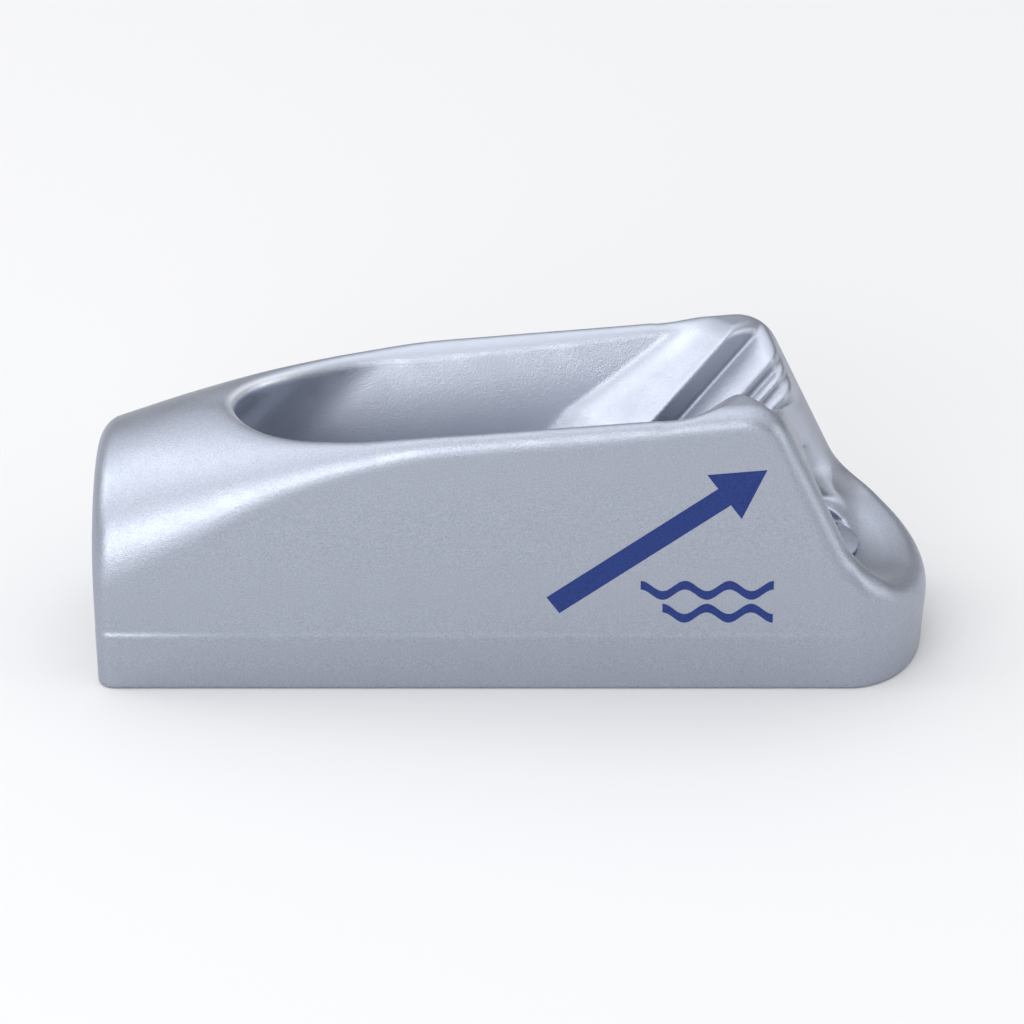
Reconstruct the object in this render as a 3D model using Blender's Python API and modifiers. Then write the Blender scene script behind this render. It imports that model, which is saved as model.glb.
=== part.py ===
"""A small fixed-jaw rope cleat for boats, cast in one piece with a fairlead hoop, and its two screws.

Frame, in metres: +X along the rope from the fairlead to the open nose, +Y across, +Z up.
The origin is under the middle of the cleat, on the surface it is screwed to, so z = 0 is the flat base
and y = 0 is the mirror plane. The rope's load pulls towards -X, through the fairlead.
"""

from math import cos, hypot, pi, radians, sin, sqrt, tan

import bmesh
import bpy
import numpy as np

MM = 0.001

# Driving dimensions, in millimetres.
LENGTH = 65.0
BASE_HALF = 9.35  # half width at the underside
PARTING_HALF = 9.6  # half width at the mould's parting line
WALL_HALF = 9.4  # half width where the walls end and the rims' rounding starts
PARTING_Z = 4.85
HOLE_SPACING = 27.0
REAR_HOLE_X = 23.4
FRONT_HOLE_X = REAR_HOLE_X - HOLE_SPACING

# The top of the casting: roof over the fairlead, rims of the channel, steep ends, low nose.
CREST_STATIONS = [(-32.5, 17.5), (-25.0, 19.95), (-17.5, 21.0), (-9.0, 21.4), (-1.0, 22.05), (13.0, 23.55)]
SHOULDER_STATIONS = [(-32.5, 9.45), (-25.0, 7.6), (-17.5, 4.3), (-9.0, 2.0), (-1.0, 1.6), (13.0, 2.1)]
ROUNDING_STATIONS = [(-32.5, 9.4), (-25.0, 9.3), (-17.5, 6.2), (-9.0, 1.8), (-1.0, 1.25), (13.0, 1.4)]
JAW_TOP_CORNER = (19.55, 24.15, 3.4)  # x, z and fillet radius
JAW_FOOT_CORNER = (26.1, 10.35, 7.0)
LIP_CORNER = (31.8, 7.2, 1.6)
NOSE_TIP_Z = 5.0
END_EDGE_RADIUS = 1.6  # across the rounded edge of the jaws' ends and the nose
END_CORNER_RADIUS = 1.4  # fairlead end
NOSE_LENGTH = 6.6  # the length over which the plan narrows to the tip
NOTCH_DEPTH = 0.35  # where the round hoop stands on the square base band
NOTCH_FADE = (-30.0, -23.0)

# The rope channel, drawn along a 45 degree line that rises towards the nose.
CHANNEL_FLOOR = [(-33.0, 5.5), (-4.0, 5.5), (12.0, 11.5), (30.0, 13.0)]  # x and z
CHANNEL_OPEN_Z = 27.0
ENTRY_LENGTH = 10.6
ENTRY_CENTRE = -30.2  # x - z of the centre of the rounded entry
ENTRY_HALF = 7.6  # half width of the entry at RIM_Z
RIM_Z = 21.5
FLARE_SLOPE = 0.29
JAW_Z = 23.3
JAW_HALF = 5.0  # half width between the tooth crests at JAW_Z
JAW_SLOPE = 0.51
JAW_LEAST_HALF = 1.5
RAMP_Z = 18.4
RAMP_SLOPE = 1.13  # how steeply the first tooth's ramp leaves the flare at RAMP_Z
RAMP_TWIST = 0.05  # and how that grows with height
# Each turn of the teeth: x - z, and how far the jaw stands back from its crests there.
TEETH = [(-6.85, 0.0), (-4.0, 2.0), (-1.7, 0.0), (-0.55, 0.75), (0.2, 0.0), (1.0, 0.55), (1.7, 0.0)]

# Fairlead bore.
BORE_RADIUS = 5.2
BORE_Z = 8.0
BORE_DEPTH = 16.0
BORE_DOME = 5.5  # how far its rounded inner end reaches on, down in the channel's floor
BORE_MOUTH_RADIUS = 3.0

# The opening behind the jaws, and the chute that runs down from it over the nose.
OPENING_BACK_X = 20.3  # its rounded back at the lower level of OPENING_LEVELS, and below it
OPENING_LEVELS = (12.0, 17.5)
OPENING_LEAN = 0.2  # the back draws in between those levels, then leans out at 45 degrees
OPENING_LENGTH = 11.0
OPENING_HALF = 8.1
CHUTE = [(18.0, 13.6), (20.0, 12.2), (24.0, 9.2), (27.4, 7.2), (30.0, 6.0), (34.0, 5.2)]  # x and z
CHUTE_TOP_Z = 12.0
LIP_WIDTH = 1.25

# Screw wells and M4 countersunk screws.
FRONT_SEAT_Z = 4.2
REAR_SEAT_Z = 8.2
WELL_RADIUS = 4.0
WELL_TOP_Z = 11.1
SCREW_HOLE_RADIUS = 2.3
SPOTFACE_RADIUS = 5.4  # the shallow step round the rear well
SPOTFACE_Z = 9.1
SPOTFACE_TOP_Z = 13.1
HEAD_RADIUS = 3.7
SHANK_RADIUS = 2.0
HEAD_SINK = 0.05  # the head's top lies this far below the well's floor
HEAD_RIM = 0.2
SHANK_END_Z = 0.3
SOCKET_FLATS = 2.5
SOCKET_DEPTH = 1.2


def smooth_curve(stations, x):
    """A curve through the stations whose slope never overshoots them."""
    xs, ys = np.array(stations).T
    steps = np.diff(ys) / np.diff(xs)
    slopes = np.concatenate([[steps[0]], (steps[:-1] + steps[1:]) / 2, [steps[-1]]])
    i = int(np.clip(np.searchsorted(xs, x) - 1, 0, len(xs) - 2))
    h = xs[i + 1] - xs[i]
    t = min(max((x - xs[i]) / h, 0.0), 1.0)
    rise = ys[i + 1] - ys[i]
    a = slopes[i] * h - rise
    b = rise - slopes[i + 1] * h
    return float(ys[i] + rise * t + t * (1 - t) * (a * (1 - t) + b * t))


def filleted(corners, segments=7):
    """The points of a line through the corners (x, z, radius), each corner rounded by an arc."""
    points = [np.array(corners[0][:2])]
    for before, (x, z, radius), after in zip(corners, corners[1:], corners[2:]):
        corner = np.array([x, z])
        back = np.array(before[:2]) - corner
        ahead = np.array(after[:2]) - corner
        back /= np.linalg.norm(back)
        ahead /= np.linalg.norm(ahead)
        half = np.arccos(back @ ahead) / 2
        centre = corner + (back + ahead) / np.linalg.norm(back + ahead) * radius / sin(half)
        start = corner + back * radius / tan(half) - centre
        end = corner + ahead * radius / tan(half) - centre
        sweep = pi - 2 * half
        for k in range(segments + 1):
            part = sweep * k / segments
            points.append(centre + (start * sin(sweep - part) + end * sin(part)) / sin(sweep))
    points.append(np.array(corners[-1][:2]))
    return points


def jaw_end_line():
    """The side view's top line from the jaws' top to the nose tip."""
    x, z = CREST_STATIONS[-1]
    return filleted(
        [(x, z, 0), JAW_TOP_CORNER, JAW_FOOT_CORNER, LIP_CORNER, (LENGTH / 2, NOSE_TIP_Z, 0)]
    )


JAW_END = jaw_end_line()


def crest_height(x):
    if x <= CREST_STATIONS[-1][0]:
        return smooth_curve(CREST_STATIONS, x)
    return float(np.interp(x, [p[0] for p in JAW_END], [p[1] for p in JAW_END]))


def crest_slope(x, step=0.15):
    return (crest_height(x + step) - crest_height(x - step)) / (2 * step)


def plan_share(x):
    """How much of the full width is left at x: 1 along the cleat, falling to 0 at the nose tip."""
    along = (x - (LENGTH / 2 - NOSE_LENGTH)) / NOSE_LENGTH
    return sqrt(max(1 - max(along, 0) ** 2, 0))


def end_inset(x):
    """How far the rounded corner of the fairlead end draws the section in."""
    into = END_CORNER_RADIUS - (x + LENGTH / 2)
    return END_CORNER_RADIUS - sqrt(END_CORNER_RADIUS**2 - into**2) if into > 0 else 0.0


def outer_section(x, corner_segments=8):
    """Half of the outer section at x, from the underside up to the middle of the top."""
    top = crest_height(x)
    share = plan_share(x)
    inset = end_inset(x)
    if x <= CREST_STATIONS[-1][0]:
        rounding = smooth_curve(ROUNDING_STATIONS, x)
        shoulder = smooth_curve(SHOULDER_STATIONS, x)
    else:
        rounding = END_EDGE_RADIUS
        shoulder = min(END_EDGE_RADIUS * hypot(1, crest_slope(x)), top - PARTING_Z - 0.6)
    fade = np.interp(x, NOTCH_FADE, (1.0, 0.0))
    wall = WALL_HALF * share - inset
    rounding = min(rounding, WALL_HALF) * share - inset
    shoulder = shoulder - inset
    base = top - inset - shoulder
    points = [
        (0.0, 0.0),
        (BASE_HALF * share - inset, 0.0),
        (PARTING_HALF * share - inset, min(PARTING_Z, base - 0.4)),
        ((PARTING_HALF - 0.03 - NOTCH_DEPTH * fade) * share - inset, min(PARTING_Z + 0.2, base - 0.2)),
    ]
    for k in range(corner_segments + 1):
        angle = pi / 2 * k / corner_segments
        points.append((wall - rounding + rounding * cos(angle), base + shoulder * sin(angle)))
    points.append((0.0, top - inset))
    return points


def outer_stations():
    left = -LENGTH / 2
    corner = [left + END_CORNER_RADIUS * (1 - cos(a)) for a in np.linspace(0, pi / 2, 5)]
    roof = list(np.linspace(left + END_CORNER_RADIUS, CREST_STATIONS[-1][0], 22)[1:])
    nose_start = LENGTH / 2 - NOSE_LENGTH
    jaw_end = [p[0] for p in JAW_END[1:-1] if p[0] < nose_start]
    nose = [nose_start + NOSE_LENGTH * sin(a) for a in np.linspace(0, radians(86), 12)]
    return corner + roof + jaw_end + nose


def new_mesh_object(name, collection, mesh_builder):
    mesh = bmesh.new()
    mesh_builder(mesh)
    bmesh.ops.remove_doubles(mesh, verts=mesh.verts, dist=0.01 * MM)
    bmesh.ops.dissolve_degenerate(mesh, edges=mesh.edges, dist=0.001 * MM)
    bmesh.ops.recalc_face_normals(mesh, faces=mesh.faces)
    data = bpy.data.meshes.new(name)
    mesh.to_mesh(data)
    mesh.free()
    thing = bpy.data.objects.new(name, data)
    collection.objects.link(thing)
    return thing


def loft(name, collection, rings):
    """A closed solid through rings of equally many points, in millimetres, with flat ends."""

    def build(mesh):
        rows = [[mesh.verts.new([c * MM for c in point]) for point in ring] for ring in rings]
        count = len(rows[0])
        for near, far in zip(rows, rows[1:]):
            for i in range(count):
                j = (i + 1) % count
                mesh.faces.new((near[i], near[j], far[j], far[i]))
        mesh.faces.new(rows[0])
        mesh.faces.new(rows[-1])

    return new_mesh_object(name, collection, build)


def turned(name, collection, profile, segments=40):
    """A solid turned about Z from a profile (radius, z) in millimetres, listed from top to bottom."""

    def build(mesh):
        verts = [mesh.verts.new((r * MM, 0, z * MM)) for r, z in profile]
        for upper, lower in zip(verts, verts[1:]):
            mesh.edges.new((upper, lower))

    thing = new_mesh_object(name, collection, build)
    screw = thing.modifiers.new("turn", "SCREW")
    screw.steps = segments
    screw.render_steps = segments
    screw.use_merge_vertices = True
    screw.merge_threshold = 0.00001
    return thing


def as_cutter(thing):
    thing.hide_render = True
    thing.display_type = "WIRE"
    return thing


def cut(target, cutter):
    boolean = target.modifiers.new("cut " + cutter.name, "BOOLEAN")
    boolean.operation = "DIFFERENCE"
    boolean.solver = "EXACT"
    boolean.object = cutter


def metal(name, colour, roughness):
    material = bpy.data.materials.new(name)
    material.use_nodes = True
    shader = material.node_tree.nodes["Principled BSDF"]
    shader.inputs["Base Color"].default_value = (*colour, 1)
    shader.inputs["Roughness"].default_value = roughness
    shader.inputs["Metallic"].default_value = 1.0
    return material


def shade(thing, angle=30):
    thing.data.shade_smooth()
    thing.data.set_sharp_from_angle(angle=radians(angle))


def mirrored_ring(half, place):
    """A closed ring from a half outline on the +Y side, whose first and last points lie on y = 0."""
    far_side = [place(along, y) for along, y in half]
    near_side = [place(along, -y) for along, y in half[-2:0:-1]]
    return far_side + near_side


def make_casting(collection):
    rings = []
    for x in outer_stations():
        half = [(z, y) for y, z in outer_section(x)]
        rings.append(mirrored_ring(half, lambda z, y, x=x: (x, y, z)))
    return loft("cleat_body", collection, rings)


def channel_half(z, end_segments=12):
    """Half of the rope channel's outline at height z, from the rounded entry to past the jaws."""
    centre = ENTRY_CENTRE + z
    half = ENTRY_HALF + FLARE_SLOPE * (z - RIM_Z)
    points = []
    for k in range(end_segments + 1):
        angle = pi - pi / 2 * k / end_segments
        points.append((centre + ENTRY_LENGTH * cos(angle), half * sin(angle)))
    crest_half = max(JAW_HALF + JAW_SLOPE * (z - JAW_Z), JAW_LEAST_HALF)
    ramp_slope = RAMP_SLOPE + RAMP_TWIST * (z - RAMP_Z)
    first_crest = TEETH[0][0] + z
    points.append((first_crest - (half - crest_half) / ramp_slope, half))
    points += [(across + z, crest_half + depth) for across, depth in TEETH]
    far_end = OPENING_BACK_X + 1.5 + max(z - OPENING_LEVELS[0], 0)
    points.append((far_end, crest_half))
    points.append((far_end, 0.0))
    return points


def channel_cutter(collection):
    low = CHANNEL_FLOOR[0][1]
    levels = np.linspace(low, CHANNEL_OPEN_Z, 12)
    rings = [mirrored_ring(channel_half(z), lambda x, y, z=z: (x, y, z)) for z in levels]
    channel = as_cutter(loft("rope_channel", collection, rings))
    outline = CHANNEL_FLOOR + [(CHANNEL_FLOOR[-1][0], low - 1), (CHANNEL_FLOOR[0][0], low - 1)]
    sides = [[(x, y, z) for x, z in outline] for y in (-12, 12)]
    cut(channel, as_cutter(loft("channel_floor", collection, sides)))
    return channel


def bore_cutter(collection):
    """The fairlead's bore along X, with a rounded mouth at the outer end."""
    mouth = [
        (BORE_RADIUS + BORE_MOUTH_RADIUS * (1 - sin(a)), BORE_MOUTH_RADIUS * (1 - cos(a)))
        for a in np.linspace(0, pi / 2, 7)
    ]
    dome = [
        (BORE_RADIUS * sin(a), BORE_DEPTH + BORE_DOME * cos(a)) for a in np.linspace(0, pi / 2, 6)
    ]
    rim = BORE_RADIUS + BORE_MOUTH_RADIUS
    profile = dome + mouth[::-1] + [(rim, -END_CORNER_RADIUS), (0, -END_CORNER_RADIUS)]
    bore = turned("fairlead_bore", collection, profile, 36)
    bore.rotation_euler = (0, pi / 2, 0)
    bore.location = (-LENGTH / 2 * MM, 0, BORE_Z * MM)
    return as_cutter(bore)


def chute_height(x, y):
    """The chute's surface: a dished floor that falls towards the nose and rises to the lip all round."""
    bottom = float(np.interp(x, *zip(*CHUTE)))
    top = min(crest_height(x), CHUTE_TOP_Z)
    past = max(x - (LENGTH / 2 - NOSE_LENGTH), 0) / (NOSE_LENGTH - LIP_WIDTH)
    return bottom + (top - bottom) * (past**2 + (y / (PARTING_HALF - LIP_WIDTH)) ** 2)


def chute_cutter(collection, segments=16):
    """The opening behind the jaws, rounded at its back, less the solid below the chute's floor."""
    low, high = OPENING_LEVELS
    rings = []
    for z in (BORE_Z - 4, low, high, CHANNEL_OPEN_Z):
        level = max(z, low)
        back = OPENING_BACK_X - OPENING_LEAN * (min(level, high) - low) + max(level - high, 0)
        angles = [pi - pi / 2 * k / segments for k in range(segments + 1)]
        half = [(back + OPENING_LENGTH * (1 + cos(a)), OPENING_HALF * sin(a)) for a in angles]
        half += [(LENGTH + z, OPENING_HALF), (LENGTH + z, 0.0)]
        rings.append(mirrored_ring(half, lambda x, y, z=z: (x, y, z)))
    opening = as_cutter(loft("nose_opening", collection, rings))

    floor_rings = []
    for x in np.linspace(CHUTE[0][0], CHUTE[-1][0], 24):
        half = [(z, y) for y, z in ((0.0, 2.0), (12.0, 2.0))]
        half += [(chute_height(x, y), y) for y in np.linspace(12.0, 0.0, 13)]
        floor_rings.append(mirrored_ring(half, lambda z, y, x=x: (x, y, z)))
    cut(opening, as_cutter(loft("chute_floor", collection, floor_rings)))
    return opening


def well_cutter(collection, name, x, seat_z, step=()):
    """Access for one screw: a round well, its countersink and the hole through the base."""
    sink = WELL_RADIUS - SCREW_HOLE_RADIUS
    profile = [
        *(step or [(0, WELL_TOP_Z), (WELL_RADIUS, WELL_TOP_Z)]),
        (WELL_RADIUS, seat_z),
        (SCREW_HOLE_RADIUS, seat_z - sink),
        (SCREW_HOLE_RADIUS, -1.0),
        (0, -1.0),
    ]
    well = turned(name, collection, profile)
    well.location = (x * MM, 0, 0)
    return as_cutter(well)


def make_screw(collection, cutters, name, x, seat_z):
    top = seat_z - HEAD_SINK
    profile = [
        (0, top),
        (HEAD_RADIUS, top),
        (HEAD_RADIUS, top - HEAD_RIM),
        (SHANK_RADIUS, top - HEAD_RIM - (HEAD_RADIUS - SHANK_RADIUS)),
        (SHANK_RADIUS, SHANK_END_Z),
        (0, SHANK_END_Z),
    ]
    screw = turned(name, collection, profile, 32)
    screw.location = (x * MM, 0, 0)
    corner = SOCKET_FLATS / 2 / cos(pi / 6)
    rings = []
    for z in (top - SOCKET_DEPTH, top + 1.0):
        rings.append([(x + corner * cos(k * pi / 3), corner * sin(k * pi / 3), z) for k in range(6)])
    cut(screw, as_cutter(loft(name + "_socket", cutters, rings)))
    return screw


def main():
    for thing in list(bpy.data.objects):
        bpy.data.objects.remove(thing, do_unlink=True)
    parts = bpy.data.collections.new("jam_cleat")
    cutters = bpy.data.collections.new("cutters")
    bpy.context.scene.collection.children.link(parts)
    bpy.context.scene.collection.children.link(cutters)

    casting = make_casting(parts)
    cut(casting, channel_cutter(cutters))
    cut(casting, bore_cutter(cutters))
    cut(casting, chute_cutter(cutters))
    cut(casting, well_cutter(cutters, "front_well", FRONT_HOLE_X, FRONT_SEAT_Z))
    step = [
        (0, SPOTFACE_TOP_Z),
        (SPOTFACE_RADIUS, SPOTFACE_TOP_Z),
        (SPOTFACE_RADIUS, SPOTFACE_Z),
        (WELL_RADIUS, SPOTFACE_Z),
    ]
    cut(casting, well_cutter(cutters, "rear_well", REAR_HOLE_X, REAR_SEAT_Z, step))
    casting.data.materials.append(metal("cast aluminium", (0.46, 0.49, 0.55), 0.38))
    shade(casting)

    steel = metal("stainless steel", (0.55, 0.55, 0.56), 0.3)
    seats = (("front_screw", FRONT_HOLE_X, FRONT_SEAT_Z), ("rear_screw", REAR_HOLE_X, REAR_SEAT_Z))
    for name, x, seat_z in seats:
        screw = make_screw(parts, cutters, name, x, seat_z)
        screw.data.materials.append(steel)
        shade(screw)


main()
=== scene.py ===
"""The looks of a small cast rope cleat: its cast skin, screws, printed mark and studio.

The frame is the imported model's, in metres: +X along the rope towards the nose, +Y across, +Z up.
The casting's skin is worked out in millimetres as a distance field and turned into a mesh.
"""

from math import cos, pi, radians, sin, tan

import bmesh
import bpy
import numpy as np
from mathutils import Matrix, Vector


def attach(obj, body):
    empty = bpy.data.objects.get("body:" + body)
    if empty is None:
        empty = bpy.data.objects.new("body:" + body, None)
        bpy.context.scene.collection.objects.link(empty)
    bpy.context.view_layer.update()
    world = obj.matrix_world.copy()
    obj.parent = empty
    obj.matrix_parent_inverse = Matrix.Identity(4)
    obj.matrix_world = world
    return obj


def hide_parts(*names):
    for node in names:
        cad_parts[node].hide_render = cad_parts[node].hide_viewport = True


MM = 0.001

# Outer form, in millimetres.
LENGTH = 65.0
BAND_HALF = (9.35, 9.6, 9.57, 9.4)  # half widths at BAND_Z
BAND_Z = (0.0, 4.85, 5.1, 20.0)
PARTING_Z = 4.85
# The crest line up to the jaws, and how far the rounding below it reaches down and in, at each x.
CREST_STATIONS = [
    (-32.5, 17.5),
    (-25.0, 19.95),
    (-17.5, 21.0),
    (-9.0, 21.4),
    (-1.0, 22.05),
    (13.0, 23.55),
]
SHOULDER_STATIONS = [
    (-32.5, 9.45),
    (-25.0, 7.6),
    (-17.5, 4.3),
    (-9.0, 2.0),
    (-1.0, 1.6),
    (13.0, 2.1),
]
ROUNDING_STATIONS = [
    (-32.5, 9.4),
    (-25.0, 9.3),
    (-17.5, 6.2),
    (-9.0, 1.8),
    (-1.0, 1.25),
    (13.0, 1.4),
]
JAW_TOP_CORNER = (19.55, 24.15, 3.4)  # x, z and fillet radius
JAW_FOOT_CORNER = (26.1, 10.35, 7.0)
NOSE_TOP_END = (33.5, 6.3)
END_EDGE_RADIUS = 1.6
END_FADE = 16.0  # how far before the jaws' steep end its edge radius starts to take over
END_CORNER_RADIUS = 1.4
NOSE_LENGTH = 6.6
NOTCH_DEPTH = 0.12  # the step at the parting line, near the fairlead
NOTCH_FADE = (-30.0, -22.0)
NOTCH_TOP_Z = 8.5
BASE_EDGE_RADIUS = 0.25

# Rope channel, drawn along a 45 degree line that rises towards the nose.
CHANNEL_FLOOR = [(-33.0, 5.5), (-4.0, 5.5), (12.0, 11.5), (30.0, 13.0)]
FLOOR_ROUNDING = 0.8
ENTRY_LENGTH = 10.6
ENTRY_CENTRE = -30.2  # x - z of the centre of the rounded entry
ENTRY_HALF = 7.6  # half width at RIM_Z
RIM_Z = 21.5
FLARE_SLOPE = 0.29
JAW_Z = 23.3
JAW_HALF = 5.0  # half width between the tooth crests at JAW_Z
JAW_SLOPE = 0.51
JAW_LEAST_HALF = 1.5
RAMP_Z = 18.4
RAMP_SLOPE = 1.13
RAMP_TWIST = 0.05
RAMP_BLEND = 1.6
# Each turn of the teeth: x - z, and how far the jaw stands back from its crests there.
TEETH = [
    (-6.85, 0.0),
    (-4.0, 2.0),
    (-1.7, 0.0),
    (-0.55, 0.75),
    (0.2, 0.0),
    (1.0, 0.55),
    (1.7, 0.0),
]
# The rounding where the hollows meet the outside, at each x.
RIM_FILLETS = [
    (-30.0, 0.8),
    (-25.0, 2.5),
    (-14.0, 1.35),
    (12.0, 1.2),
    (15.0, 0.7),
    (24.0, 1.2),
]

# Fairlead bore.
BORE_RADIUS = 5.2
BORE_Z = 8.0
BORE_DEPTH = 16.0
BORE_DOME = 5.5
BORE_MOUTH_RADIUS = 3.0
BORE_JOIN = 1.2  # the rounding where the bore runs into the channel

# The opening behind the jaws, and the chute that runs down from it over the nose.
OPENING_BACK_X = 20.3  # its rounded back at the lower level, and below it
OPENING_LEVELS = (12.0, 17.5)
OPENING_LEAN = 0.2  # the back draws in between those levels, then leans out at 45 degrees
OPENING_LENGTH = 11.0
OPENING_HALF = 8.1
OPENING_JOIN = 0.5
PAST_JAWS = 1.5  # how far the channel runs on into the opening
CHUTE = [(18.0, 13.6), (20.0, 12.2), (24.0, 9.2), (27.4, 7.2), (30.0, 6.0), (34.0, 5.2)]
CHUTE_TOP_Z = 12.0
CHUTE_ROUNDING = 1.2
LIP_WIDTH = 1.25

# Screw wells: x, and the level of the seat that the screw's head is sunk in.
HOLES = ((-3.6, 4.2), (23.4, 8.2))
WELL_RADIUS = 4.0
WELL_EDGES = (0.15, 0.2)  # the rounding at its foot and at its mouth
SCREW_HOLE_RADIUS = 2.3
SPOTFACE_RADIUS = 5.4
SPOTFACE_Z = 9.1
SPOTFACE_EDGES = (0.3, 0.7)

# Screws.
HEAD_RADIUS = 3.7
SHANK_RADIUS = 2.0
HEAD_SINK = 0.05
HEAD_RIM = 0.2
SCREW_EDGE = 0.12
SHANK_END_Z = 0.3
SOCKET_FLATS = 2.5
SOCKET_DEPTH = 1.2

# Printed mark on the near wall, in x and z.
INK_PROUD = 0.02
INK_SUNK = 0.06
ARROW_TAIL = (2.9, 7.6)
ARROW_TIP = (19.0, 19.2)
ARROW_WIDTH = 1.7
ARROW_HEAD = (3.9, 4.6)
WAVE_LENGTH = 3.4
WAVE_HEIGHT = 0.9
WAVE_WIDTH = 0.75
WAVES = ((9.6, 19.8, 8.9), (11.3, 19.8, 6.9))  # first x, last x and level

# Finishes: linear colours.
CAST_SHADE = (0.42, 0.45, 0.52)
CAST_SHADES = ((0.33, 0.36, 0.425), (0.44, 0.47, 0.54))
# Painted light on the inner walls and the entry: lighter only to balance how dark this light
# leaves them, not wear.
WALL_PAINTED_LIGHT = (0.45, 0.48, 0.55)
ENTRY_PAINTED_LIGHT = (0.85, 0.88, 0.94)
STEEL_SHADE = (0.4, 0.44, 0.54)
INK_SHADE = (0.012, 0.03, 0.16)
INK_SHADES = ((0.011, 0.028, 0.14), (0.02, 0.042, 0.19))
FLOOR_SHADE = (0.7, 0.7, 0.7)
SKY_SHADE = (0.97, 0.975, 1.0)

# Camera, in metres and degrees.
CAMERA_ELEVATION = 28.0
CAMERA_DISTANCE = 0.2986
CAMERA_TARGET = (0, 0, 0.011)
CAMERA_LENS = 133.7
CAMERA_SHIFT = (-0.0031, -0.0042)

# Softboxes: azimuth and elevation in degrees, width and height in metres, and radiance.
SOFTBOXES = {
    "key": (-24, 18, (0.55, 0.24), 3.9),
    "side": (-96, 38, (0.36, 0.3), 2.1),
    "end": (72, 14, (0.3, 0.22), 2.4),
}
SOFTBOX_DISTANCE = 0.6

GRID_STEP = 0.16  # millimetres


# ---------------------------------------------------------------- curves of the outer form


def smooth_curve(stations, x):
    """A curve through the stations, with a slope at each one worked out from its neighbours."""
    xs, ys = np.array(stations).T
    steps = np.diff(ys) / np.diff(xs)
    slopes = np.concatenate([[steps[0]], (steps[:-1] + steps[1:]) / 2, [steps[-1]]])
    i = np.clip(np.searchsorted(xs, x) - 1, 0, len(xs) - 2)
    h = xs[i + 1] - xs[i]
    t = np.clip((x - xs[i]) / h, 0.0, 1.0)
    rise = ys[i + 1] - ys[i]
    a = slopes[i] * h - rise
    b = rise - slopes[i + 1] * h
    return ys[i] + rise * t + t * (1 - t) * (a * (1 - t) + b * t)


def filleted(corners, segments=24):
    """The points of a line through the corners (x, z, radius), each corner rounded by an arc."""
    points = [np.array(corners[0][:2])]
    for before, (x, z, radius), after in zip(corners, corners[1:], corners[2:]):
        corner = np.array([x, z])
        back = np.array(before[:2]) - corner
        ahead = np.array(after[:2]) - corner
        back /= np.linalg.norm(back)
        ahead /= np.linalg.norm(ahead)
        half = np.arccos(back @ ahead) / 2
        centre = corner + (back + ahead) / np.linalg.norm(back + ahead) * radius / sin(half)
        start = corner + back * radius / tan(half) - centre
        end = corner + ahead * radius / tan(half) - centre
        sweep = pi - 2 * half
        for k in range(segments + 1):
            part = sweep * k / segments
            points.append(centre + (start * sin(sweep - part) + end * sin(part)) / sin(sweep))
    points.append(np.array(corners[-1][:2]))
    return np.array(points)


def softened(values, count):
    """A table with its corners eased over count entries."""
    padded = np.pad(values, count, mode="reflect", reflect_type="odd")
    return np.convolve(padded, np.ones(2 * count + 1) / (2 * count + 1), mode="valid")


TABLE_X = np.arange(-LENGTH / 2 - 1, LENGTH / 2 + 1, 0.05)


def crest_table():
    x, z = CREST_STATIONS[-1]
    end = filleted([(x, z, 0), JAW_TOP_CORNER, JAW_FOOT_CORNER, (*NOSE_TOP_END, 0)])
    left = smooth_curve(CREST_STATIONS, TABLE_X)
    right = np.interp(TABLE_X, end[:, 0], end[:, 1])
    return softened(np.where(TABLE_X < x, left, right), 6)


CREST = crest_table()
CREST_SLOPE = np.gradient(CREST, TABLE_X)
LEAN = np.hypot(1, CREST_SLOPE)


def end_share():
    """0 along the channel, rising to 1 where the jaws' steep ends and the nose begin."""
    return np.clip((TABLE_X - CREST_STATIONS[-2][0]) / END_FADE, 0, 1)


def blended(stations, end_value):
    """A curve through the stations that gives way to end_value where the steep ends begin."""
    share = end_share()
    return softened(smooth_curve(stations, TABLE_X) * (1 - share) + end_value * share, 20)


SHOULDER = blended(SHOULDER_STATIONS, END_EDGE_RADIUS * LEAN)
ROUNDING = blended(ROUNDING_STATIONS, END_EDGE_RADIUS)


def at(table, x):
    return np.interp(x, TABLE_X, table).astype(np.float32)


# ---------------------------------------------------------------- the casting as a distance field


def both(a, b, radius):
    """The overlap of two fields, with its edge rounded. Fields are negative inside."""
    corner = np.hypot(np.maximum(a + radius, 0), np.maximum(b + radius, 0))
    return np.minimum(np.maximum(a, b), -radius) + corner


def either(a, b, radius):
    """The union of two fields, with the notch between them rounded."""
    corner = np.hypot(np.maximum(radius - a, 0), np.maximum(radius - b, 0))
    return np.maximum(np.minimum(a, b), radius) - corner


def soft_min(a, b, width):
    """The lower of two values, eased into each other where they are within width."""
    blend = np.clip(0.5 + 0.5 * (b - a) / width, 0, 1)
    return b + (a - b) * blend - width * blend * (1 - blend)


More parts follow.
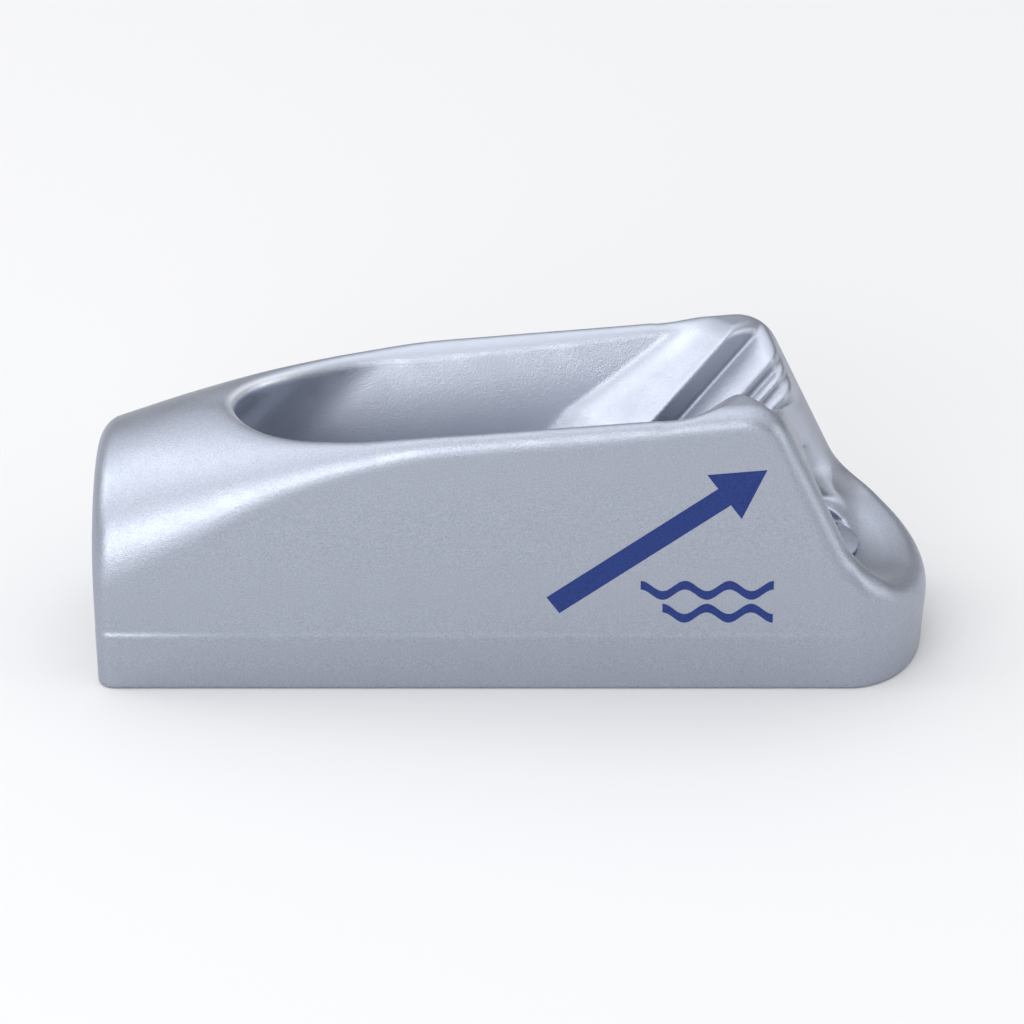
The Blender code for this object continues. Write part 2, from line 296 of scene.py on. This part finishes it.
def outer_field(x, y, z):
    """The outside of the casting: plan outline, crest line and the rounding between them."""
    fade = np.interp(x, NOTCH_FADE, (1.0, 0.0))
    above = np.clip((NOTCH_TOP_Z - z) / (NOTCH_TOP_Z - PARTING_Z), 0, 1)
    step = np.clip((z - PARTING_Z) / (BAND_Z[2] - BAND_Z[1]), 0, 1)
    wall = np.interp(z, BAND_Z, BAND_HALF) - NOTCH_DEPTH * fade * above**2 * step
    nose = NOSE_LENGTH - (BAND_HALF[1] - wall)
    along = np.maximum(x - (LENGTH / 2 - NOSE_LENGTH), 0)
    reach = np.maximum(np.hypot(along / nose, y / wall), 0.001)
    side = (reach - 1) * reach / np.hypot(along / nose**2, y / wall**2 + 1e-6)
    top, shoulder, rounding, lean = at(CREST, x), at(SHOULDER, x), at(ROUNDING, x), at(LEAN, x)
    q = (side + rounding) / rounding
    v = (z - (top - shoulder)) / shoulder
    corner = np.hypot(np.maximum(q, 0), np.maximum(v, 0))
    slope = np.hypot(np.maximum(q, 0) / rounding, np.maximum(v, 0) * lean / shoulder)
    rounded = (corner - 1) * corner / np.maximum(slope, 1e-6)
    plain = np.maximum((q - 1) * rounding, (v - 1) * shoulder / lean)
    field = np.where(corner > 0.05, rounded, plain)
    field = both(field, -(x + LENGTH / 2), END_CORNER_RADIUS)
    return both(field, -z, BASE_EDGE_RADIUS)


def tooth_table():
    """How far the jaw stands back from its tooth crests at each x - z."""
    across = np.arange(-60.0, 60.0, 0.02)
    places, depths = zip(*TEETH)
    return across, softened(np.interp(across, places, depths), 9)


TOOTH_ACROSS, TOOTH_BACKSET = tooth_table()


def channel_half(x, z):
    """Half width of the rope channel: a smooth flare, then a ramp up to the toothed jaws."""
    flare = ENTRY_HALF + FLARE_SLOPE * (z - RIM_Z)
    crest_half = np.maximum(JAW_HALF + JAW_SLOPE * (z - JAW_Z), JAW_LEAST_HALF)
    across = x - z
    ramp_slope = RAMP_SLOPE + RAMP_TWIST * (z - RAMP_Z)
    ramp = crest_half + ramp_slope * np.maximum(TEETH[0][0] - across, 0)
    jaw = ramp + np.interp(across, TOOTH_ACROSS, TOOTH_BACKSET)
    return soft_min(flare, jaw, RAMP_BLEND)


def channel_field(x, y, z):
    """The rope channel, from its rounded entry to past the jaws."""
    centre = ENTRY_CENTRE + z
    half = channel_half(x, z)
    entry_half = np.maximum(ENTRY_HALF + FLARE_SLOPE * (z - RIM_Z), 0.5)
    back = np.minimum(x - centre, 0) / ENTRY_LENGTH
    reach = np.maximum(np.hypot(back, y / entry_half), 0.001)
    slope = np.hypot(back / ENTRY_LENGTH * 1.41, y / entry_half**2 * 1.04) / reach
    entry = (reach - 1) / np.maximum(slope, 0.05)
    steep = np.where(x - z > TEETH[0][0] - 5, 0.8, 0.94)
    field = np.where(x < centre, entry, (y - half) * steep)
    floor = np.interp(x, *zip(*CHANNEL_FLOOR)) - z
    field = both(field, floor, FLOOR_ROUNDING)
    return np.maximum(field, x - OPENING_BACK_X - np.maximum(z - OPENING_LEVELS[0], 0) - PAST_JAWS)


def bore_field(x, y, z):
    """The fairlead bore, with its flared mouth and its rounded inner end."""
    depth = x + LENGTH / 2
    into = np.clip(1 - depth / BORE_MOUTH_RADIUS, 0, 1)
    radius = BORE_RADIUS + BORE_MOUTH_RADIUS * (1 - np.sqrt(1 - into**2 * 0.999))
    past = np.maximum(depth - BORE_DEPTH, 0) / BORE_DOME * BORE_RADIUS
    return np.hypot(np.hypot(y, z - BORE_Z), past) - radius


def chute_field(x, y, z):
    """The open end behind the jaws, and the chute that runs down from it over the nose."""
    low, high = OPENING_LEVELS
    level = np.maximum(z, low)
    back = OPENING_BACK_X - OPENING_LEAN * (np.minimum(level, high) - low)
    back = back + np.maximum(level - high, 0)
    along = np.minimum((x - back - OPENING_LENGTH) / OPENING_LENGTH, 0)
    reach = np.hypot(along, y / OPENING_HALF) + 1e-6
    slope = np.hypot(along / OPENING_LENGTH * 1.2, y / OPENING_HALF**2) / reach
    opening = (reach - 1) / np.maximum(slope, 0.05)
    bottom = np.interp(x, *zip(*CHUTE))
    top = np.minimum(at(CREST, x), CHUTE_TOP_Z)
    length, half = NOSE_LENGTH - LIP_WIDTH, BAND_HALF[1] - LIP_WIDTH
    past = np.maximum(x - (LENGTH / 2 - NOSE_LENGTH), 0) / length
    across = y / half
    rise = (top - bottom) * (past**2 + across**2)
    lean = (top - bottom) * 2 * np.hypot(past / length, across / half)
    chute = (bottom + rise - z) / np.sqrt(1.3 + lean**2)
    return both(opening, chute, CHUTE_ROUNDING)


def well_field(x, y, z, hole_x, seat_z):
    """The well that the screw goes down, its countersink and its hole."""
    radius = np.hypot(x - hole_x, y)
    well = both(radius - WELL_RADIUS, seat_z - z, WELL_EDGES[0])
    well = np.maximum(well, z - SPOTFACE_Z - 2)
    sink = np.maximum((radius - WELL_RADIUS - (z - seat_z)) * 0.707, z - seat_z - 0.1)
    hole = np.maximum(radius - SCREW_HOLE_RADIUS, z - seat_z - 1)
    return np.minimum(well, np.minimum(sink, hole))


def casting_field(x, y, z):
    """Distance to the casting's surface in millimetres, negative inside the metal."""
    y = np.abs(y)
    hollow = either(channel_field(x, y, z), bore_field(x, y, z), BORE_JOIN)
    hollow = either(hollow, chute_field(x, y, z), OPENING_JOIN)
    step = np.hypot(x - HOLES[1][0], y) - SPOTFACE_RADIUS
    spotface = both(step, SPOTFACE_Z - z, SPOTFACE_EDGES[0])
    hollow = either(hollow, np.maximum(spotface, z - SPOTFACE_Z - 4), SPOTFACE_EDGES[1])
    fillet = np.interp(x, *zip(*RIM_FILLETS))
    field = both(outer_field(x, y, z), -hollow, fillet)
    for hole_x, seat_z in HOLES:
        field = both(field, -well_field(x, y, z, hole_x, seat_z), WELL_EDGES[1])
    return field


# ---------------------------------------------------------------- from a field to a mesh


def surface_net(values, origin, step):
    """Vertices and quads of the surface where a grid of values changes sign."""
    inside = values < 0
    cells = tuple(n - 1 for n in values.shape)
    total = np.zeros((*cells, 3), np.float32)
    count = np.zeros(cells, np.float32)
    for axis in range(3):
        near = [slice(None)] * 3
        far = [slice(None)] * 3
        near[axis] = slice(0, -1)
        far[axis] = slice(1, None)
        a, b = values[tuple(near)], values[tuple(far)]
        crossing = inside[tuple(near)] != inside[tuple(far)]
        share = np.where(crossing, a / np.where(crossing, a - b, 1), 0)
        others = [k for k in range(3) if k != axis]
        for first in (0, 1):
            for second in (0, 1):
                pick = [slice(None)] * 3
                for other, offset in zip(others, (first, second)):
                    pick[other] = slice(offset, values.shape[other] - 1 + offset)
                hit = crossing[tuple(pick)]
                count += hit
                total[..., axis] += share[tuple(pick)]
                total[..., others[0]] += hit * first
                total[..., others[1]] += hit * second
    active = count > 0
    index = np.full(cells, -1, np.int64)
    index[active] = np.arange(active.sum())
    corners = np.argwhere(active) + total[active] / count[active][:, None]
    quads = []
    for axis in range(3):
        near = [slice(1, -1)] * 3
        far = [slice(1, -1)] * 3
        near[axis] = slice(0, -1)
        far[axis] = slice(1, None)
        a, b = inside[tuple(near)], inside[tuple(far)]
        u, v = [k for k in range(3) if k != axis]
        for crossing, order in ((a & ~b, (0, 1, 2, 3)), (~a & b, (3, 2, 1, 0))):
            base = np.argwhere(crossing)
            base[:, u] += 1
            base[:, v] += 1
            ring = []
            for du, dv in ((-1, -1), (0, -1), (0, 0), (-1, 0)):
                place = base.copy()
                place[:, u] += du
                place[:, v] += dv
                ring.append(index[tuple(place.T)])
            quads.append(np.stack([ring[k] for k in (order if axis != 1 else order[::-1])], 1))
    return origin + corners * step, np.concatenate(quads)


def settle(points, field, rounds=3, reach=0.02, furthest=0.08):
    """Moves points onto the field's surface, along its slope."""
    for _ in range(rounds):
        x, y, z = points.T
        value = field(x, y, z)
        slope = np.stack(
            [
                field(x + reach, y, z) - field(x - reach, y, z),
                field(x, y + reach, z) - field(x, y - reach, z),
                field(x, y, z + reach) - field(x, y, z - reach),
            ],
            1,
        ) / (2 * reach)
        steepness = np.maximum((slope**2).sum(1), 0.25)
        move = -slope * (value / steepness)[:, None]
        length = np.linalg.norm(move, axis=1, keepdims=True)
        points = points + move * np.minimum(1, furthest / np.maximum(length, 1e-9))
    return points


def make_casting():
    """The casting's skin: the field on a grid, turned into a mesh that lies on the surface."""
    step = GRID_STEP
    low = np.array([-LENGTH / 2 - 2 * step, -10.0 - 2 * step, -2 * step])
    shape = [int(np.ceil(size / step)) + 5 for size in (LENGTH, 20.0, 24.4)]
    x, y, z = (low[k] + step * (np.arange(shape[k]) + 0.37) for k in range(3))
    values = casting_field(x[:, None, None], y[None, :, None], z[None, None, :]).astype(np.float32)
    origin = np.array([x[0], y[0], z[0]])
    points, quads = surface_net(values, origin, step)
    points = settle(points, casting_field)
    mesh = bpy.data.meshes.new("casting")
    mesh.from_pydata((points * MM).tolist(), [], quads.tolist())
    mesh.validate()
    mesh.shade_smooth()
    casting = bpy.data.objects.new("casting", mesh)
    bpy.context.collection.objects.link(casting)
    smooth = casting.modifiers.new("soften", "SMOOTH")
    smooth.factor = 0.5
    smooth.iterations = 2
    return casting


# ---------------------------------------------------------------- materials


def new_material(name, colour, roughness, metallic=1.0):
    """A material with its nodes, its links and its shader."""
    material = bpy.data.materials.new(name)
    material.use_nodes = True
    nodes = material.node_tree.nodes
    shader = nodes["Principled BSDF"]
    shader.inputs["Base Color"].default_value = (*colour, 1)
    shader.inputs["Roughness"].default_value = roughness
    shader.inputs["Metallic"].default_value = metallic
    return material, nodes, material.node_tree.links, shader


def noise(nodes, links, scale, detail=2.0, roughness=0.5):
    """Noise fixed to the object, with scale in features per metre."""
    place = nodes.get("Place") or nodes.new("ShaderNodeTexCoord")
    place.name = "Place"
    texture = nodes.new("ShaderNodeTexNoise")
    texture.inputs["Scale"].default_value = scale
    texture.inputs["Detail"].default_value = detail
    texture.inputs["Roughness"].default_value = roughness
    links.new(place.outputs["Object"], texture.inputs["Vector"])
    return texture


def remap(nodes, links, source, low, high, to_low, to_high):
    change = nodes.new("ShaderNodeMapRange")
    change.inputs["From Min"].default_value = low
    change.inputs["From Max"].default_value = high
    change.inputs["To Min"].default_value = to_low
    change.inputs["To Max"].default_value = to_high
    links.new(source, change.inputs["Value"])
    return change.outputs["Result"]


def mix_colour(nodes, links, factor, first, second):
    mix = nodes.new("ShaderNodeMix")
    mix.data_type = "RGBA"
    links.new(factor, mix.inputs["Factor"])
    for socket, value in (("A", first), ("B", second)):
        target = next(s for s in mix.inputs if s.name == socket and s.type == "RGBA")
        if isinstance(value, tuple):
            target.default_value = (*value, 1)
        else:
            links.new(value, target)
    return next(s for s in mix.outputs if s.type == "RGBA")


def bump(nodes, links, height, strength, distance, before=None):
    bumped = nodes.new("ShaderNodeBump")
    bumped.inputs["Strength"].default_value = strength
    bumped.inputs["Distance"].default_value = distance
    links.new(height, bumped.inputs["Height"])
    if before:
        links.new(before, bumped.inputs["Normal"])
    return bumped.outputs["Normal"]


def inward(nodes, links, axis, middle, least, most):
    """1 on inner surfaces, which face a middle plane across an axis, and 0 on the rest."""
    place = nodes["Place"]
    across = []
    for output in ("Object", "Normal"):
        parts = nodes.new("ShaderNodeSeparateXYZ")
        links.new(place.outputs[output], parts.inputs[0])
        across.append(parts.outputs[axis])
    offset = nodes.new("ShaderNodeMath")
    offset.operation = "SUBTRACT"
    offset.inputs[1].default_value = middle
    links.new(across[0], offset.inputs[0])
    across[0] = offset.outputs[0]
    product = nodes.new("ShaderNodeMath")
    product.operation = "MULTIPLY"
    for source, target in zip(across, product.inputs):
        links.new(source, target)
    return remap(nodes, links, product.outputs[0], -least, -most, 0.0, 1.0)


def cast_metal():
    """Satin silver finish on a bead-blasted aluminium casting: fine grain, faint mottling."""
    material, nodes, links, shader = new_material("satin cast aluminium", CAST_SHADE, 0.4)
    grain = noise(nodes, links, 8500, 2.0, 0.6)
    mottle = noise(nodes, links, 420, 3.0, 0.55)
    shade = mix_colour(
        nodes,
        links,
        remap(nodes, links, grain.outputs["Fac"], 0.3, 0.7, 0.0, 1.0),
        *CAST_SHADES,
    )
    # Painted light: a lighter base colour on the inner walls, which face the middle plane, and on
    # the surfaces facing in at the entry.
    wall_light_mask = inward(nodes, links, "Y", 0.0, 0.0004, 0.0035)
    grain_and_wall_light = mix_colour(nodes, links, wall_light_mask, shade, WALL_PAINTED_LIGHT)
    entry = inward(nodes, links, "X", 0.016, 0.004, 0.018)
    grain_and_painted_light = mix_colour(nodes, links, entry, grain_and_wall_light, ENTRY_PAINTED_LIGHT)
    links.new(grain_and_painted_light, shader.inputs["Base Color"])
    dull = remap(nodes, links, mottle.outputs["Fac"], 0.3, 0.7, 0.36, 0.46)
    links.new(dull, shader.inputs["Roughness"])
    fine = bump(nodes, links, grain.outputs["Fac"], 0.55, 0.00004)
    peel = noise(nodes, links, 3200, 2.0, 0.5)
    skin = bump(nodes, links, peel.outputs["Fac"], 0.2, 0.00004, fine)
    links.new(skin, shader.inputs["Normal"])
    return material


def steel():
    material, nodes, links, shader = new_material("stainless steel", STEEL_SHADE, 0.3)
    worn = noise(nodes, links, 1500, 4.0, 0.6)
    dull = remap(nodes, links, worn.outputs["Fac"], 0.3, 0.7, 0.22, 0.38)
    links.new(dull, shader.inputs["Roughness"])
    return material


def ink():
    material, nodes, links, shader = new_material("navy marking ink", INK_SHADE, 0.5, 0.0)
    shader.inputs["Specular IOR Level"].default_value = 0.2
    speckle = noise(nodes, links, 6000, 2.0, 0.6)
    tone = mix_colour(
        nodes,
        links,
        remap(nodes, links, speckle.outputs["Fac"], 0.35, 0.7, 0.0, 1.0),
        *INK_SHADES,
    )
    links.new(tone, shader.inputs["Base Color"])
    return material


# ---------------------------------------------------------------- screws


def turned(name, profile, segments=96):
    """A solid turned about Z from a profile (radius, z) in millimetres, top to bottom."""
    mesh = bmesh.new()
    verts = [mesh.verts.new((r * MM, 0, z * MM)) for r, z in profile]
    for upper, lower in zip(verts, verts[1:]):
        mesh.edges.new((upper, lower))
    data = bpy.data.meshes.new(name)
    mesh.to_mesh(data)
    mesh.free()
    thing = bpy.data.objects.new(name, data)
    bpy.context.collection.objects.link(thing)
    screw = thing.modifiers.new("turn", "SCREW")
    screw.steps = segments
    screw.render_steps = segments
    screw.use_merge_vertices = True
    screw.merge_threshold = 0.000005
    return thing


def hexagon(name, x, flats, low, high):
    """A six-sided bar standing at x, between two levels, in millimetres."""
    mesh = bmesh.new()
    bmesh.ops.create_cone(
        mesh,
        cap_ends=True,
        segments=6,
        radius1=flats / 2 / cos(pi / 6) * MM,
        radius2=flats / 2 / cos(pi / 6) * MM,
        depth=(high - low) * MM,
    )
    data = bpy.data.meshes.new(name)
    mesh.to_mesh(data)
    mesh.free()
    thing = bpy.data.objects.new(name, data)
    thing.location = (x * MM, 0, (low + high) / 2 * MM)
    bpy.context.collection.objects.link(thing)
    return thing


def applied(thing):
    """The object with its modifiers' result as its mesh, in world space."""
    graph = bpy.context.evaluated_depsgraph_get()
    evaluated = thing.evaluated_get(graph)
    data = bpy.data.meshes.new_from_object(evaluated)
    data.transform(thing.matrix_world)
    thing.modifiers.clear()
    thing.data = data
    thing.matrix_world.identity()
    return thing


def make_screw(name, x, seat_z, material):
    """A countersunk screw with a hex socket, its head just below its seat's level."""
    edge = SCREW_EDGE
    top = seat_z - HEAD_SINK
    cone_foot = top - HEAD_RIM - (HEAD_RADIUS - SHANK_RADIUS)
    profile = [
        (0, top),
        (HEAD_RADIUS - edge, top),
        (HEAD_RADIUS - edge / 4, top - edge / 4),
        (HEAD_RADIUS, top - edge),
        (HEAD_RADIUS, top - HEAD_RIM),
        (SHANK_RADIUS, cone_foot),
        (SHANK_RADIUS, SHANK_END_Z + edge),
        (SHANK_RADIUS - edge, SHANK_END_Z),
        (0, SHANK_END_Z),
    ]
    screw = turned(name, profile)
    screw.location = (x * MM, 0, 0)
    bpy.context.view_layer.update()
    socket = hexagon(name + "_socket", x, SOCKET_FLATS, top - SOCKET_DEPTH, top + 1)
    cut = screw.modifiers.new("socket", "BOOLEAN")
    cut.operation = "DIFFERENCE"
    cut.object = socket
    bpy.context.view_layer.update()
    applied(screw)
    bpy.data.objects.remove(socket, do_unlink=True)
    screw.data.materials.clear()
    screw.data.materials.append(material)
    screw.data.shade_smooth()
    screw.data.set_sharp_from_angle(angle=radians(25))
    return screw


# ---------------------------------------------------------------- printed mark


def printed(name, outline, material):
    """A thin layer of ink on the near wall, its outline in (x, z), let into the metal."""
    mesh = bmesh.new()
    rings = []
    for proud in (INK_PROUD, -INK_SUNK):
        ring = []
        for x, z in outline:
            wall = np.interp(z, BAND_Z, BAND_HALF)
            ring.append(mesh.verts.new((x * MM, -(wall + proud) * MM, z * MM)))
        rings.append(ring)
    front, back = rings
    mesh.faces.new(front)
    mesh.faces.new(back[::-1])
    for k in range(len(outline)):
        after = (k + 1) % len(outline)
        mesh.faces.new((front[after], front[k], back[k], back[after]))
    mesh.normal_update()
    bmesh.ops.triangulate(mesh, faces=mesh.faces)
    bmesh.ops.recalc_face_normals(mesh, faces=mesh.faces)
    data = bpy.data.meshes.new(name)
    mesh.to_mesh(data)
    mesh.free()
    mark = bpy.data.objects.new(name, data)
    bpy.context.collection.objects.link(mark)
    mark.data.materials.append(material)
    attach(mark, "root")


def arrow_outline():
    """An arrow from ARROW_TAIL to ARROW_TIP: which way the rope is pulled in."""
    tail, tip = np.array(ARROW_TAIL), np.array(ARROW_TIP)
    ahead = (tip - tail) / np.linalg.norm(tip - tail)
    side = np.array([-ahead[1], ahead[0]])
    neck = tip - ahead * ARROW_HEAD[0]
    shaft, barb = side * ARROW_WIDTH / 2, side * ARROW_HEAD[1] / 2
    return [tail + shaft, tail - shaft, neck - shaft, neck - barb, tip, neck + barb, neck + shaft]


def wave_outline(start, end, level, segments=48):
    """A wavy stroke between two x, centred on a level."""
    xs = np.linspace(start, end, segments + 1)
    mid = level + WAVE_HEIGHT / 2 * np.cos((xs - start) / WAVE_LENGTH * 2 * pi)
    lower = list(zip(xs, mid - WAVE_WIDTH / 2))
    upper = list(zip(xs, mid + WAVE_WIDTH / 2))
    return lower + upper[::-1]


# ---------------------------------------------------------------- studio


def look_at(thing, target):
    thing.rotation_euler = (Vector(target) - thing.location).to_track_quat("-Z", "Y").to_euler()


def make_camera():
    elevation = radians(CAMERA_ELEVATION)
    data = bpy.data.cameras.new("camera")
    data.sensor_width = 36
    data.lens = CAMERA_LENS
    data.clip_start = 0.01
    data.shift_x, data.shift_y = CAMERA_SHIFT
    camera = bpy.data.objects.new("camera", data)
    back = Vector((0, -cos(elevation), sin(elevation))) * CAMERA_DISTANCE
    camera.location = Vector(CAMERA_TARGET) + back
    camera.rotation_euler = (pi / 2 - elevation, 0, 0)
    bpy.context.collection.objects.link(camera)
    bpy.context.scene.camera = camera


def softbox(name, azimuth, elevation, size, radiance):
    """A flat light aimed at the object, from an azimuth of 0 in front and 90 to the right."""
    data = bpy.data.lights.new(name, "AREA")
    data.shape = "RECTANGLE"
    data.size, data.size_y = size
    data.energy = radiance * pi * size[0] * size[1]
    light = bpy.data.objects.new(name, data)
    turn, rise = radians(azimuth), radians(elevation)
    toward = Vector((sin(turn) * cos(rise), -cos(turn) * cos(rise), sin(rise)))
    light.location = toward * SOFTBOX_DISTANCE
    bpy.context.collection.objects.link(light)
    look_at(light, (0, 0, 0.01))


def make_studio():
    """A plain pale floor, a sky that is brightest overhead and to the left, and the softboxes."""
    mesh = bmesh.new()
    bmesh.ops.create_grid(mesh, x_segments=1, y_segments=1, size=3.0)
    data = bpy.data.meshes.new("floor")
    mesh.to_mesh(data)
    mesh.free()
    floor = bpy.data.objects.new("floor", data)
    bpy.context.collection.objects.link(floor)
    floor.data.materials.append(new_material("pale floor", FLOOR_SHADE, 0.9, 0.0)[0])
    world = bpy.data.worlds.new("studio")
    world.use_nodes = True
    nodes, links = world.node_tree.nodes, world.node_tree.links
    direction = nodes.new("ShaderNodeTexCoord")
    parts = nodes.new("ShaderNodeSeparateXYZ")
    links.new(direction.outputs["Generated"], parts.inputs[0])
    nodes["Background"].inputs["Color"].default_value = (*SKY_SHADE, 1)
    glow = nodes.new("ShaderNodeMath")
    glow.operation = "MULTIPLY"
    overhead = remap(nodes, links, parts.outputs["Z"], 0.35, 0.95, 0.42, 1.7)
    sideways = remap(nodes, links, parts.outputs["X"], -1.0, 1.0, 1.3, 0.7)
    links.new(overhead, glow.inputs[0])
    links.new(sideways, glow.inputs[1])
    links.new(glow.outputs[0], nodes["Background"].inputs["Strength"])
    bpy.context.scene.world = world
    for name, setting in SOFTBOXES.items():
        softbox(name, *setting)
    bpy.context.scene.view_settings.view_transform = "Standard"


# ---------------------------------------------------------------- the scene

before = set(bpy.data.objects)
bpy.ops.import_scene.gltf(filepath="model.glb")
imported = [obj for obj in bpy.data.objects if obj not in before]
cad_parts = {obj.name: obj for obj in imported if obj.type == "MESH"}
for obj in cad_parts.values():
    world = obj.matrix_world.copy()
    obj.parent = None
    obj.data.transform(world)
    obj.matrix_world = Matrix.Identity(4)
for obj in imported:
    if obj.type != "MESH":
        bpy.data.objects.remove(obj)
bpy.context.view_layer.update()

make_camera()
make_studio()

casting = make_casting()
casting.data.materials.append(cast_metal())
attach(casting, "root")
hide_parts("cleat_body")

screw_metal = steel()
for node, (x, seat_z) in zip(("front_screw", "rear_screw"), HOLES):
    screw = make_screw(node.replace("screw", "bolt"), x, seat_z, screw_metal)
    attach(screw, "root")
    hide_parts(node)

navy = ink()
printed("marking_arrow", arrow_outline(), navy)
for number, (start, end, level) in enumerate(WAVES, 1):
    printed(f"marking_wave_{number}", wave_outline(start, end, level), navy)
